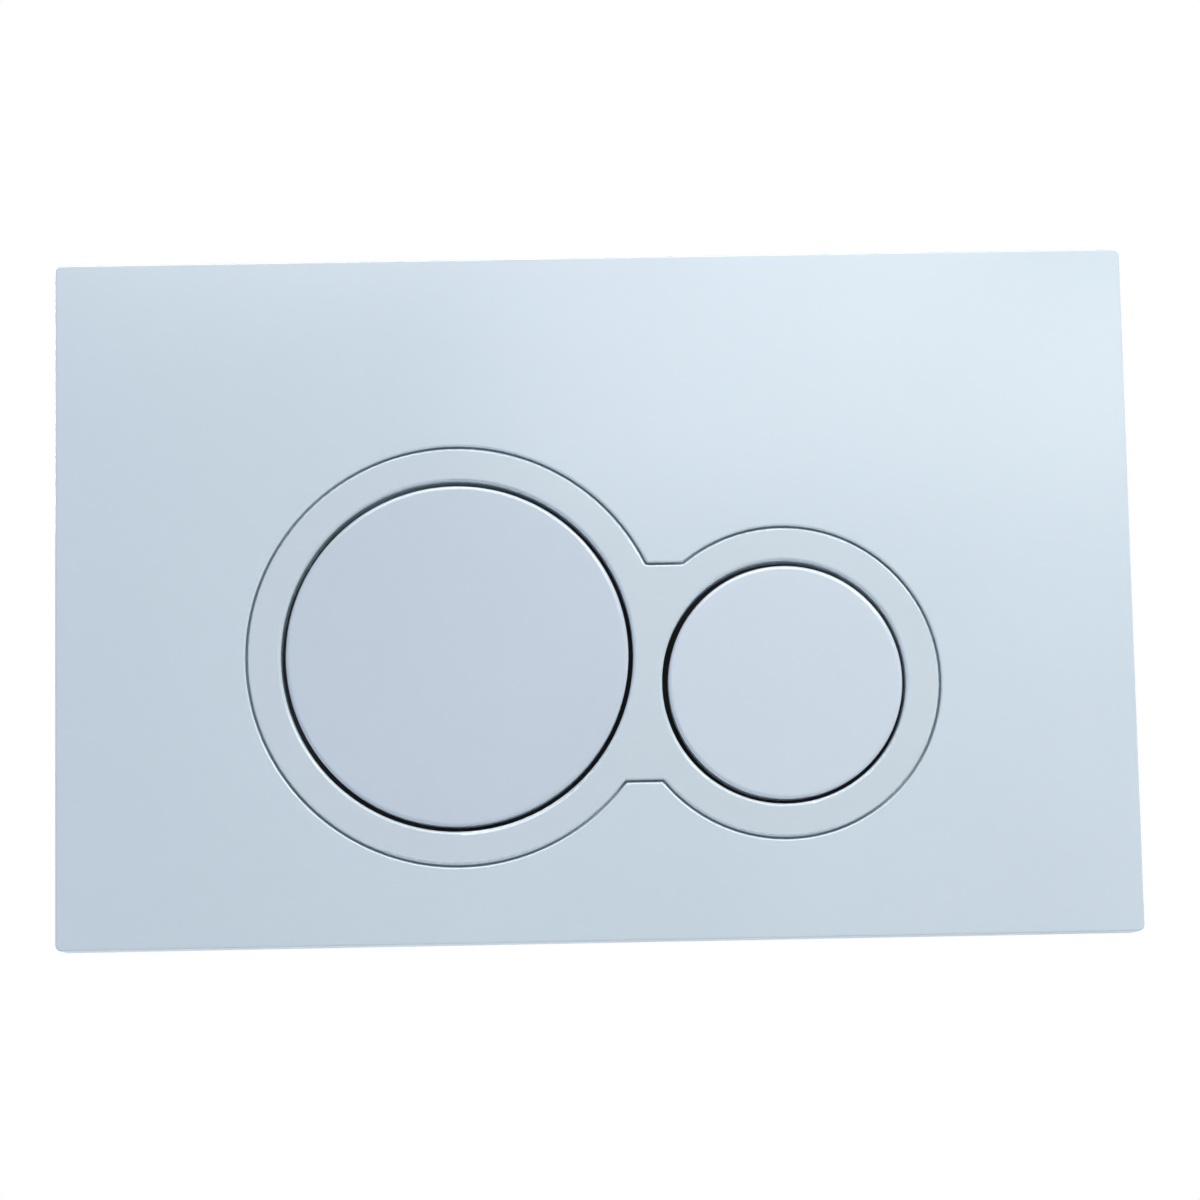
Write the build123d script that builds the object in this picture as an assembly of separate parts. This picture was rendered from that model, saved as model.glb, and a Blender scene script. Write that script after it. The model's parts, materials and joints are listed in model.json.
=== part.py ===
from build123d import *
import os
from dataclasses import dataclass
from math import cos, radians, sin, sqrt, tan

# Dual-flush button plate for a concealed cistern. All sizes are in millimetres.
# The finished wall is the plane Y = 0 and the room is on its -Y side. +Z is up and +X is to the right, seen
# from the room. The origin is on the wall, midway between the two fixing bolts and behind the plate's centre.
# A depth is a place along Y: negative in front of the wall, such as the front face's, and positive inside it.

# Front plate
plate_width = 250.0
plate_height = 160.0
plate_depth = 12.0         # from the wall to the front face
plate_corner = 1.5
plate_edge_round = 0.4
face_wall = 2.5
skirt_wall = 2.2
skirt_draft = 0.5          # degrees, the skirt widens towards the wall so that it leaves its mould
skirt_inner_corner = 0.8
wall_gap = 0.3             # between the skirt's edge and the wall
rib_pitch = 25.0
rib_wall = 1.2
ledge_thickness = 2.0      # of the tray floor that the trim sits on
ledge_wall = 1.8           # round the tray, outside the trim's groove
boss_radius = 3.4
boss_floor = 1.0           # left in front of the screw's hole
boss_gusset_wall = 1.2     # of the two gussets that steady each boss
boss_gusset_reach = 7.5    # from the boss's axis
boss_offset = 7.8          # from the trim's outline to a boss's centre

# Trim between the plate and the buttons
trim_thickness = 2.4
trim_groove = 0.55         # hairline joint all round the trim
trim_edge_round = 0.55
rim_round = 0.9            # on the trim's edge round each button
ring_width = 7.7           # of the trim round each button
neck_middle = -18.1        # height of the neck's middle line
neck_height = 50.0
neck_corner = 0.8
collar_wall = 1.6
collar_reach = 4.1         # of the collars behind the trim
collar_fit = 0.2           # between collar and ledge
stake_radius = 1.3
stake_fit = 0.1
stake_head_radius = 2.2
stake_head_height = 0.9
stake_crown_radius = 1.75  # where the head's round side ends
stake_side_height = 0.6

# Buttons
button_gap = 1.1           # between a button and its hole in the trim
button_stand_out = 0.3     # of the buttons in front of the plate
button_edge_round = 1.05
button_travel = 6.0
cap_wall = 2.2
cap_skirt_wall = 1.6
cap_depth = 6.3
bead_height = 0.8          # snap beads that hold the cap on its plunger
bead_depth = 0.6
bead_length = 10.0
bead_play = 0.05
bead_bars = 3              # each bar across the cap makes two beads

# Plungers
plunger_disc = 2.0
plunger_fit = 0.15         # between the disc's rim and the cap's skirt
plunger_rib_wall = 1.4
plunger_rib_height = 1.7
plunger_rib_step = 60      # degrees between ribs
plunger_rim_band = 1.5     # left free of ribs at the rim
spring_room = 0.8          # between the spring and the ribs round it
landing_wall = 1.6         # rib that lands on the buffer ring
landing_play = 0.05
stem_radius = 5.0
stem_stand_out = 4.0       # behind the guide tube, at rest
leg_thickness = 1.8
leg_width = 8.0
hook_depth = 1.4
hook_height = 3.2
hook_land = 0.8            # flat part of the hook before its slope
hook_gap = 0.15            # between hook and carrier, at rest

# Button carrier
carrier_thickness = 2.5
carrier_clearance = 1.0    # behind the caps when they are pressed home
carrier_margin = 4.1       # round each cap
carrier_neck_height = 40.0
carrier_rim_wall = 1.6
carrier_rim_height = 3.0
carrier_rib_wall = 1.2
carrier_rib_step = 30      # degrees between ribs
guide_fit = 0.06
guide_wall = 1.95
guide_front_play = 0.5     # in front of the guide tube when pressed home
guide_back = 15.0          # reach of the guide tube behind the carrier's front
well_radius = 10.4
well_wall = 1.8
well_depth = 8.0
well_floor = 2.0
leg_slot_play = 0.3
buffer_width = 3.0
buffer_thickness = 1.5
buffer_seat = 0.5          # depth of the buffer's groove in the carrier
buffer_fit = 0.1           # between the buffer and the sides of its groove
ear_radius = 5.6
screw_radius = 1.5
screw_length = 9.0
screw_tip_radius = 0.6
screw_tip_length = 1.5
screw_head_radius = 3.0
screw_head_height = 2.0
screw_side_height = 0.8    # of the head, up to where its crown starts
screw_crown_radius = 2.1
screw_cross_length = 2.6
screw_cross_width = 0.7
screw_cross_depth = 1.1
screw_fit = 0.05
screw_clearance = 0.25

# Return springs
spring_radius = 8.7        # to the middle of the wire
spring_wire = 1.1          # wire diameter
spring_turns = 5.0
spring_play = 0.01         # between the wire and what it presses on

# Push rods and their lock nuts
rod_radius = 3.0           # over the thread
rod_shank_radius = 2.75
rod_thread_length = 44.0
rod_engagement = 12.0      # inside the stem
rod_reach = 78.0           # behind the stem
rod_end_round = 2.0
rod_fit = 0.05
lock_nut_width = 10.0      # across flats
lock_nut_height = 5.0
edge_break = 0.5           # chamfers on nuts, knobs and rod ends

# Mounting frame
frame_side_gap = 6.8       # between the frame and the plate's skirt, left and right
frame_end_gap = 2.8        # the same, above and below
frame_front_gap = 0.5      # between the frame and the plate's ribs
frame_corner = 8.0
frame_depth = 6.0
frame_floor = 2.4
frame_bar_height = 14.5    # of the bars above and below the window
window_side_gap = 6.5      # between the carrier and the window, left and right
window_relief = 1.6        # all round the carrier, where the window comes that near to it
window_corner = 6.0
frame_rim_wall = 1.8
frame_rib_wall = 1.3
frame_rib_set_back = 1.5   # behind the rims' front edges
frame_rib_start = 18.0     # from the middle to the first rib, along each bar
frame_rib_pitch = 24.0
level_notch = 1.2          # marks on the middle of each side, for lining up

# Snap hooks of the front plate and their catches in the frame
snap_spread = 120.0        # between the left and right hooks
snap_width = 12.0
snap_thickness = 2.0
snap_depth = 1.2
snap_land = 0.6            # flat part of the hook before its slope
snap_fit = 0.1
snap_side_play = 0.5       # at each end of a hook, in its slot
snap_flex = 1.3            # room for the hook to bend
catch_depth = 3.0          # thickness of the catch's lip
catch_wall = 2.4
snap_tip_gap = 0.8         # between a hook's tip and the wall

# Fixing bolts, in the middle of the frame's side bars
bolt_radius = 3.0          # over the thread
bolt_neck_radius = 2.65
bolt_thread_start = 0.4
bolt_reach = 78.0          # behind the wall's face
bolt_pad_depth = 3.0
bolt_slot_width = 7.0
bolt_slot_length = 15.0    # upright, so that the plate can be levelled
bolt_pad_margin = 5.5
bolt_set_back = 0.8        # of the bolt's end behind the knob's front, as deep as the knob's slot
washer_radius = 7.5
washer_thickness = 0.8
washer_fit = 0.3
knob_radius = 6.8
knob_height = 5.0
knob_grips = 14
knob_grip_radius = 0.7
knob_grip_out = 0.2        # of the grip grooves' axes from the knob's rim
knob_slot_width = 1.6
knob_fit = 0.02            # round the bolt's neck
knob_clearance = 2.6       # between knob and the plate's ribs
overshoot = 1.0            # of cuts past the faces that they open


@dataclass
class Button:
    """One push button: its hole's and its axis's places as (X, Z), its size, and what is on its plunger."""

    hole: tuple
    axis: tuple
    radius: float
    leg_ring: float        # radius of the legs' inner faces
    landing_ring: float    # middle radius of the landing rib and the buffer ring
    opening_ring: float    # radius of the middles of the plunger's openings
    opening_radius: float
    leg_angles: tuple
    boss_angles: tuple     # of the carrier's screws round this button


full = Button(
    hole=(-32.1, -13.45),
    axis=(-32.1, -13.45),
    radius=39.7,
    leg_ring=30.0,
    landing_ring=22.0,
    opening_ring=29.0,
    opening_radius=4.5,
    leg_angles=(90, 210, 330),
    boss_angles=(135, 225),
)
half = Button(
    hole=(43.5, -20.9),
    axis=(43.8, -21.0),    # it sits a little to the right in its hole, and low
    radius=27.15,
    leg_ring=19.5,
    landing_ring=14.4,
    opening_ring=19.0,
    opening_radius=3.0,
    leg_angles=(90, 210, 330),
    boss_angles=(50, -50),
)
buttons = (full, half)

# Depths that follow from the sizes
face_front = -plate_depth
face_back = face_front + face_wall
skirt_end = -wall_gap
ledge_front = face_front + trim_thickness
ledge_back = ledge_front + ledge_thickness
cap_front = face_front - button_stand_out
cap_back = cap_front + cap_wall
cap_end = cap_front + cap_depth
plunger_back = cap_back + plunger_disc
carrier_front = cap_end + button_travel + carrier_clearance
carrier_back = carrier_front + carrier_thickness
guide_front = plunger_back + button_travel + guide_front_play
guide_end = carrier_front + guide_back
well_front = carrier_front + well_depth
buffer_front = carrier_front + buffer_seat - buffer_thickness
stem_end = guide_end + stem_stand_out
bolt_pad_front = -bolt_pad_depth
knob_back = bolt_pad_front - washer_thickness
knob_front = knob_back - knob_height


# Drawing helpers
def depth_plane(depth):
    """Drawing plane parallel to the wall, facing the room: its x is +X and its y is +Z."""
    return Plane(origin=(0, depth, 0), x_dir=(1, 0, 0), z_dir=(0, -1, 0))


def slab(outline, front, back):
    """An outline drawn as the room sees it, made solid from one depth to the other."""
    return extrude(depth_plane(back) * outline, amount=back - front, dir=(0, -1, 0))


def disc(centre, radius, front, back):
    return slab(Pos(*centre) * Circle(radius), front, back)


def ring(centre, outer, inner, front, back):
    return slab(Pos(*centre) * (Circle(outer) - Circle(inner)), front, back)


def axis_plane(centre, angle=0):
    """Drawing plane through an axis that runs into the wall: its x points outwards and its y is the depth."""
    turn = radians(angle)
    outwards = (cos(turn), 0, sin(turn))
    return Plane(origin=(centre[0], 0, centre[1]), x_dir=outwards, z_dir=(-sin(turn), 0, cos(turn)))


def turned(centre, *profile):
    """A turned form: the profile's points are (radius, depth)."""
    section = axis_plane(centre) * make_face(Polyline(*profile, close=True))
    return revolve(section, axis=Axis((centre[0], 0, centre[1]), (0, 1, 0)))


def spokes(centre, inner, outer, width, angles, front, back):
    """Straight radial ribs from one radius to another."""
    bar = Pos((inner + outer) / 2, 0) * Rectangle(outer - inner, width)
    return [slab(Pos(*centre) * Rot(0, 0, angle) * bar, front, back) for angle in angles]


def around(centre, radius, angle):
    return (centre[0] + radius * cos(radians(angle)), centre[1] + radius * sin(radians(angle)))


def edges_at(part, depth):
    """The edges that lie in one depth plane."""
    return [
        edge for edge in part.edges()
        if all(abs(point.Y - depth) < 0.01 for point in (edge @ 0, edge @ 0.5, edge @ 1))
    ]


def inside_rectangle(edge, width, height):
    middle = edge @ 0.5
    return abs(middle.X) < width / 2 and abs(middle.Z) < height / 2


def mirrored_places(width, height):
    return [(x * width / 2, z * height / 2) for x in (-1, 1) for z in (-1, 1)]


# Outline of the trim
def hole_radius(button):
    return button.radius + button_gap


def trim_radius(button):
    return hole_radius(button) + ring_width


def trim_outline(grow=0.0):
    """Two discs joined by a straight-edged neck, its four inner corners rounded."""
    neck_width = half.hole[0] - full.hole[0]
    neck = Rectangle(neck_width, neck_height + 2 * grow)
    outline = Pos((full.hole[0] + half.hole[0]) / 2, neck_middle) * neck
    for button in buttons:
        outline += Pos(*button.hole) * Circle(trim_radius(button) + grow)
    neck_edge = neck_height / 2 + grow
    corners = [v for v in outline.vertices() if abs(abs(v.Y - neck_middle) - neck_edge) < 0.001]
    return fillet(corners, neck_corner)


def neck_corner_middle(side):
    """Halfway between the neck's two corners at its top (side 1) or bottom (side -1)."""
    height = neck_middle + side * neck_height / 2
    reach = [sqrt(trim_radius(b) ** 2 - (height - b.hole[1]) ** 2) for b in buttons]
    return ((full.hole[0] + reach[0] + half.hole[0] - reach[1]) / 2, height)


def boss_places():
    """Where the carrier's screws go: round each button, and above and below the neck."""
    places = [
        (around(button.hole, trim_radius(button) + boss_offset, angle), button)
        for button in buttons for angle in button.boss_angles
    ]
    for side in (1, -1):
        x, z = neck_corner_middle(side)
        places.append(((x, z + side * boss_offset), full))
    return places


def carrier_outline(shrink=0.0):
    """A disc behind each cap, a neck, and an ear out to each screw."""
    neck_width = half.axis[0] - full.axis[0]
    neck = Rectangle(neck_width, carrier_neck_height - 2 * shrink)
    outline = Pos((full.axis[0] + half.axis[0]) / 2, neck_middle) * neck
    for button in buttons:
        outline += Pos(*button.axis) * Circle(button.radius + carrier_margin - shrink)
    for place, button in boss_places():
        way = Vector(place[0] - button.axis[0], place[1] - button.axis[1])
        arm = Pos(way.length / 2, 0) * Rectangle(way.length, 2 * (ear_radius - shrink))
        outline += Pos(*button.axis) * Rot(0, 0, Vector(1, 0).get_signed_angle(way)) * arm
        outline += Pos(*place) * Circle(ear_radius - shrink)
    return outline


# Frame sizes that follow from the plate and the carrier
def reach(axis):
    """How far the carrier reaches from the origin, sideways (axis 0) or up and down (axis 1)."""
    discs = [(button.axis, button.radius + carrier_margin) for button in buttons]
    ears = [(place, ear_radius) for place, _ in boss_places()]
    return max(abs(centre[axis]) + radius for centre, radius in discs + ears)


frame_width = plate_width - 2 * (skirt_wall + frame_side_gap)
frame_height = plate_height - 2 * (skirt_wall + frame_end_gap)
window_width = 2 * (reach(0) + window_side_gap)
window_height = frame_height - 2 * frame_bar_height
catch_back = -frame_depth + catch_depth
snap_places = mirrored_places(snap_spread, (window_height + frame_height) / 2)
bolt_reach_sideways = (window_width + frame_width) / 4
bolt_places = ((-bolt_reach_sideways, 0.0), (bolt_reach_sideways, 0.0))
behind_face_end = -frame_depth - frame_front_gap     # how far ribs behind the face may reach


# Front plate
def snap_hooks():
    """Four legs with outward hooks that click into the frame."""
    hooks = []
    tip = -snap_tip_gap
    catch = catch_back + snap_fit
    for x, z in snap_places:
        side = 1 if z > 0 else -1
        inner = z - side * snap_thickness / 2
        outer = z + side * snap_thickness / 2
        barb = outer + side * snap_depth
        profile = Polyline(
            (face_back, inner), (face_back, outer), (catch, outer), (catch, barb),
            (catch + snap_land, barb), (tip, outer), (tip, inner), close=True,
        )
        side_plane = Plane(origin=(x, 0, 0), x_dir=(0, 1, 0), z_dir=(1, 0, 0))
        hooks.append(extrude(side_plane * make_face(profile), amount=snap_width / 2, both=True))
    return hooks


def stiffening_ribs(inside):
    """A grid of low ribs behind the face, kept clear of the buttons and of the bolts' knobs."""
    columns = int(plate_width / 2 / rib_pitch)
    rows = int(plate_height / 2 / rib_pitch + 0.5)
    grid = Sketch()
    for n in range(-columns, columns + 1):
        grid += Pos(n * rib_pitch, 0) * Rectangle(rib_wall, plate_height)
    for n in range(-rows, rows):
        grid += Pos(0, (n + 0.5) * rib_pitch) * Rectangle(plate_width, rib_wall)
    for place in bolt_places:
        grid -= Pos(*place) * Circle(knob_radius + knob_clearance)
    return slab(grid, face_back, behind_face_end) & inside


def front_plate():
    spread = 2 * (skirt_end - face_front) * tan(radians(skirt_draft))
    back_outline = RectangleRounded(plate_width + spread, plate_height + spread, plate_corner + spread / 2)
    inner_outline = RectangleRounded(
        plate_width + spread - 2 * skirt_wall, plate_height + spread - 2 * skirt_wall, skirt_inner_corner
    )
    outside = extrude(depth_plane(skirt_end) * back_outline, amount=skirt_end - face_front, taper=skirt_draft)
    outside = fillet(edges_at(outside, face_front), plate_edge_round)
    inside = extrude(depth_plane(skirt_end) * inner_outline, amount=skirt_end - face_back)
    plate = outside - inside + stiffening_ribs(inside)

    tray = trim_outline(trim_groove + ledge_wall)
    stiffener = tray - trim_outline(trim_groove)
    plate -= slab(tray, face_back, skirt_end)
    plate += slab(tray, face_back, ledge_back)
    plate += slab(stiffener, ledge_back, behind_face_end)
    plate -= slab(trim_outline(trim_groove), face_front - overshoot, ledge_front)
    clear_width = plate_width - 2 * skirt_wall
    clear_height = plate_height - 2 * skirt_wall
    pocket_edges = [e for e in edges_at(plate, face_front) if inside_rectangle(e, clear_width, clear_height)]
    plate = fillet(pocket_edges, trim_edge_round)

    for button in buttons:
        plate -= disc(button.hole, hole_radius(button) + collar_wall + collar_fit, ledge_front, ledge_back)
    for place in stake_places():
        plate -= disc(place, stake_radius + stake_fit, ledge_front, ledge_back)
    for place, button in boss_places():
        outwards = Vector(place[0] - button.axis[0], place[1] - button.axis[1])
        heading = Vector(1, 0).get_signed_angle(outwards)
        sides = (heading - 90, heading + 90)
        gussets = spokes(place, 0, boss_gusset_reach, boss_gusset_wall, sides, face_back, behind_face_end)
        for gusset in gussets:
            plate += gusset
        plate += disc(place, boss_radius, face_back, carrier_front)
        plate -= disc(place, screw_radius + screw_fit, face_back + boss_floor, carrier_front)
    for hook in snap_hooks():
        plate += hook
    return plate


# Trim
def stake_places():
    """Pins on the trim, staked over behind the ledge, midway between its inner and outer edge."""
    places = []
    for button, angles in ((full, (80, 140, 200, 260)), (half, (70, 0, -70))):
        ledge_inner = hole_radius(button) + collar_wall + collar_fit
        middle = (ledge_inner + trim_radius(button) + trim_groove) / 2
        places += [around(button.hole, middle, angle) for angle in angles]
    return places


def trim_insert():
    trim = slab(trim_outline(), face_front, ledge_front)
    trim = fillet(edges_at(trim, face_front), trim_edge_round)
    for button in buttons:
        radius = hole_radius(button)
        trim += disc(button.hole, radius + collar_wall, ledge_front, ledge_front + collar_reach)
        trim -= disc(button.hole, radius, face_front - overshoot, ledge_front + collar_reach)
    rims = [e for e in edges_at(trim, face_front) if any(lies_on(e, b.hole, hole_radius(b)) for b in buttons)]
    trim = fillet(rims, rim_round)
    for place in stake_places():
        trim += turned(
            place, (0, ledge_front), (stake_radius, ledge_front), (stake_radius, ledge_back),
            (stake_head_radius, ledge_back), (stake_crown_radius, ledge_back + stake_side_height),
            (0, ledge_back + stake_head_height),
        )
    return trim


def lies_on(edge, centre, radius):
    point = edge @ 0
    return abs(sqrt((point.X - centre[0]) ** 2 + (point.Z - centre[1]) ** 2) - radius) < 0.01


# Buttons and their plungers
def button_cap(button):
    inner = button.radius - cap_skirt_wall
    cap = disc(button.axis, button.radius, cap_front, cap_end)
    cap = fillet(edges_at(cap, cap_front), button_edge_round)
    cap -= disc(button.axis, inner, cap_back, cap_end)
    bead_front = plunger_back + bead_play
    bead_end = bead_front + bead_height
    beads = ring(button.axis, inner + cap_skirt_wall / 2, inner - bead_depth, bead_front, bead_end)
    bars = Sketch()
    for n in range(bead_bars):
        bars += Pos(*button.axis) * Rot(0, 0, 180 * n / bead_bars) * Rectangle(2 * button.radius, bead_length)
    return cap + (beads & slab(bars, bead_front, bead_end))


def hooked_leg(button, angle):
    """One springy leg that passes through the carrier and hooks behind it."""
    inner = button.leg_ring
    outer = inner + leg_thickness
    hook_front = carrier_back + hook_gap
    profile = Polyline(
        (inner, plunger_back), (outer, plunger_back), (outer, hook_front), (outer + hook_depth, hook_front),
        (outer + hook_depth, hook_front + hook_land), (outer, hook_front + hook_height),
        (inner, hook_front + hook_height), close=True,
    )
    return extrude(axis_plane(button.axis, angle) * make_face(profile), amount=leg_width / 2, both=True)


def plunger(button):
    centre = button.axis
    rim = button.radius - cap_skirt_wall - plunger_fit
    rib_end = plunger_back + plunger_rib_height
    landing_end = buffer_front - button_travel - landing_play
    body = disc(centre, rim, cap_back, plunger_back)
    half_way = 180 / len(button.leg_angles)
    for angle in button.leg_angles:
        opening = around(centre, button.opening_ring, angle + half_way)
        body -= disc(opening, button.opening_radius, cap_back, plunger_back)
    body += disc(centre, stem_radius, plunger_back, stem_end)
    body -= disc(centre, rod_radius + rod_fit, stem_end - rod_engagement, stem_end)
    rib_inner = spring_radius + spring_wire / 2 + spring_room
    rib_outer = rim - plunger_rim_band
    rib_angles = range(0, 360, plunger_rib_step)
    for rib in spokes(centre, rib_inner, rib_outer, plunger_rib_wall, rib_angles, plunger_back, rib_end):
        body += rib
    landing_outer = button.landing_ring + landing_wall / 2
    body += ring(centre, landing_outer, landing_outer - landing_wall, plunger_back, landing_end)
    for angle in button.leg_angles:
        body += hooked_leg(button, angle)
    return body


# Button carrier
def leg_slots(button):
    """Slots that let the hooked legs through, with room for them to bend inwards while they go in."""
    inner = button.leg_ring - hook_depth - leg_slot_play
    outer = button.leg_ring + leg_thickness + leg_slot_play
    width = leg_width + 2 * leg_slot_play
    return spokes(button.axis, inner, outer, width, button.leg_angles, carrier_front, carrier_back)


def button_carrier():
    outline = carrier_outline()
    rim_end = carrier_back + carrier_rim_height
    body = slab(outline, carrier_front, carrier_back)
    body += slab(outline - carrier_outline(carrier_rim_wall), carrier_back, rim_end)
    for button in buttons:
        rib_angles = [a for a in range(0, 360, carrier_rib_step) if a not in button.leg_angles]
        rib_inner = well_radius + well_wall / 2
        rib_outer = button.radius + carrier_margin - carrier_rim_wall / 2
        ribs = spokes(button.axis, rib_inner, rib_outer, carrier_rib_wall, rib_angles, carrier_back, rim_end)
        for rib in ribs:
            body += rib
    for button in buttons:
        centre = button.axis
        well_end = well_front + well_floor
        body += disc(centre, well_radius + well_wall, carrier_back, well_end)
        body -= disc(centre, well_radius, carrier_front, well_front)
        body += disc(centre, stem_radius + guide_fit + guide_wall, guide_front, guide_end)
        body -= disc(centre, stem_radius + guide_fit, guide_front, guide_end)
        for slot in leg_slots(button):
            body -= slot
        seat_outer = button.landing_ring + buffer_width / 2 + buffer_fit
        seat_inner = button.landing_ring - buffer_width / 2 - buffer_fit
        body -= ring(centre, seat_outer, seat_inner, carrier_front, carrier_front + buffer_seat)
    for place, _ in boss_places():
        body += disc(place, ear_radius, carrier_front, carrier_back)
        body -= disc(place, ear_radius - carrier_rim_wall, carrier_back, rim_end)
        body -= disc(place, screw_radius + screw_clearance, carrier_front, carrier_back)
    return body


def buffer_ring(button):
    outer = button.landing_ring + buffer_width / 2
    return ring(button.axis, outer, outer - buffer_width, buffer_front, carrier_front + buffer_seat)


def carrier_screws():
    """Pan-head screws through the carrier's ears into the front plate's bosses."""
    screws = []
    for place, _ in boss_places():
        head_top = carrier_back + screw_head_height
        tip = carrier_back - screw_length
        screw = turned(
            place, (0, tip), (screw_tip_radius, tip), (screw_radius, tip + screw_tip_length),
            (screw_radius, carrier_back), (screw_head_radius, carrier_back),
            (screw_head_radius, carrier_back + screw_side_height), (screw_crown_radius, head_top),
            (0, head_top),
        )
        bar = Rectangle(screw_cross_length, screw_cross_width)
        cross = Pos(*place) * (bar + Rot(0, 0, 90) * bar)
        screws.append(screw - slab(cross, head_top - screw_cross_depth, head_top))
    return Compound(children=screws)


# Springs, push rods and nuts
def return_spring(button):
    """Compression spring between the plunger's disc and the bottom of its well."""
    start = plunger_back + spring_wire / 2
    length = well_front - plunger_back - spring_wire
    centre = (button.axis[0], start, button.axis[1])
    coil = Helix(length / spring_turns, length, spring_radius, center=centre, direction=(0, 1, 0))
    wire = Plane(origin=coil @ 0, z_dir=coil % 0) * Circle(spring_wire / 2 - spring_play)
    return sweep(wire, path=coil, is_frenet=True)


def push_rod(button):
    """Adjusting rod, threaded at the stem and plain behind, with a rounded end."""
    start = stem_end - rod_engagement
    thread_end = start + rod_thread_length
    end = stem_end + rod_reach
    rod = turned(
        button.axis, (0, start), (rod_radius - edge_break, start), (rod_radius, start + edge_break),
        (rod_radius, thread_end - edge_break), (rod_shank_radius, thread_end), (rod_shank_radius, end),
        (0, end),
    )
    return fillet(edges_at(rod, end), rod_end_round)


def lock_nut(button):
    """Hexagon nut, tightened against the end of the stem."""
    hexagon = RegularPolygon(lock_nut_width / 2, 6, major_radius=False)
    nut = slab(Pos(*button.axis) * hexagon, stem_end, stem_end + lock_nut_height)
    corner = lock_nut_width / sqrt(3)
    break_depth = corner - lock_nut_width / 2
    nut &= turned(
        button.axis, (0, stem_end), (lock_nut_width / 2, stem_end), (corner, stem_end + break_depth),
        (corner, stem_end + lock_nut_height - break_depth), (lock_nut_width / 2, stem_end + lock_nut_height),
        (0, stem_end + lock_nut_height),
    )
    return nut - disc(button.axis, rod_radius + rod_fit, stem_end, stem_end + lock_nut_height)


# Mounting frame
def base_frame():
    """Flat frame, rimmed outside and round its window, with pads for the bolts and catches for the plate."""
    outer = RectangleRounded(frame_width, frame_height, frame_corner)
    window = RectangleRounded(window_width, window_height, window_corner) + carrier_outline(-window_relief)
    outer_inset = RectangleRounded(
        frame_width - 2 * frame_rim_wall, frame_height - 2 * frame_rim_wall, frame_corner - frame_rim_wall
    )
    window_rim = RectangleRounded(
        window_width + 2 * frame_rim_wall, window_height + 2 * frame_rim_wall, window_corner + frame_rim_wall
    )
    frame = slab(outer - window, -frame_floor, 0)
    frame += slab(outer - outer_inset, -frame_depth, -frame_floor)
    frame += slab(window_rim - window, -frame_depth, -frame_floor)
    frame += slab(cross_ribs() & (outer - window), -frame_depth + frame_rib_set_back, -frame_floor)
    for x, z in snap_places:
        frame = with_catch(frame, x, z)
    pad_width = bolt_slot_width + 2 * bolt_pad_margin
    pad_length = bolt_slot_length + 2 * bolt_pad_margin
    for place in bolt_places:
        upright = Pos(*place) * Rot(0, 0, 90)
        pad = upright * SlotOverall(pad_length, pad_width) & outer
        frame += slab(pad, bolt_pad_front, -frame_floor)
        frame -= slab(pad, -frame_depth, bolt_pad_front)
        frame -= slab(upright * SlotOverall(bolt_slot_length, bolt_slot_width), -frame_depth, 0)
    notch = Rot(0, 0, 45) * Rectangle(level_notch * sqrt(2), level_notch * sqrt(2))
    for side in (1, -1):
        for place in ((0, side * frame_height / 2), (side * frame_width / 2, 0)):
            frame -= slab(Pos(*place) * notch, -frame_depth, 0)
    return frame


def cross_ribs():
    """Lines across the frame's bars, in steps from the middle of each bar."""
    ribs = Sketch()
    for length, across, turn in ((frame_height, frame_width, 0), (frame_width, frame_height, 90)):
        line = Rot(0, 0, turn) * Rectangle(across, frame_rib_wall)
        steps = int((length / 2 - frame_rib_start) / frame_rib_pitch) + 1
        for offset in (frame_rib_start + n * frame_rib_pitch for n in range(steps)):
            for side in (1, -1):
                ribs += (Pos(0, side * offset) if turn == 0 else Pos(side * offset, 0)) * line
    return ribs


def with_catch(frame, x, z):
    """Adds the pad and slot that one snap hook of the front plate clicks into."""
    side = 1 if z > 0 else -1
    slot_inner = z - side * (snap_thickness / 2 + snap_flex)
    slot_outer = z + side * (snap_thickness / 2 + snap_fit)
    slot_height = abs(slot_outer - slot_inner)
    undercut_height = slot_height + snap_depth + snap_fit
    slot_width = snap_width + 2 * snap_side_play
    pad = Pos(x, z) * Rectangle(slot_width + 2 * catch_wall, undercut_height + 2 * catch_wall)
    slot = Pos(x, (slot_inner + slot_outer) / 2) * Rectangle(slot_width, slot_height)
    undercut = Pos(x, slot_inner + side * undercut_height / 2) * Rectangle(slot_width, undercut_height)
    frame += slab(pad, -frame_depth, -frame_floor)
    frame -= slab(slot, -frame_depth, 0)
    return frame - slab(undercut, catch_back, 0)


# Fixing bolts, knobs and washers
def fixing_bolt(place):
    """Threaded rod into the cistern's bracket, with a plain neck through washer and frame."""
    front = knob_front + bolt_set_back
    return turned(
        place, (0, front), (bolt_neck_radius, front), (bolt_neck_radius, bolt_thread_start),
        (bolt_radius, bolt_thread_start), (bolt_radius, bolt_reach - edge_break * 2),
        (bolt_radius - edge_break * 2, bolt_reach), (0, bolt_reach),
    )


def bolt_knob(place):
    """Knob with a grooved grip, turned by hand or with a coin."""
    knob = turned(
        place, (0, knob_front), (knob_radius - edge_break, knob_front),
        (knob_radius, knob_front + edge_break), (knob_radius, knob_back - edge_break),
        (knob_radius - edge_break, knob_back), (0, knob_back),
    )
    for n in range(knob_grips):
        groove = around(place, knob_radius + knob_grip_out, 360 * n / knob_grips)
        knob -= disc(groove, knob_grip_radius, knob_front, knob_back)
    knob -= disc(place, bolt_neck_radius + knob_fit, knob_front, knob_back)
    slot = Pos(*place) * Rectangle(2 * knob_radius, knob_slot_width)
    return knob - slab(slot, knob_front, knob_front + bolt_set_back)


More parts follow.
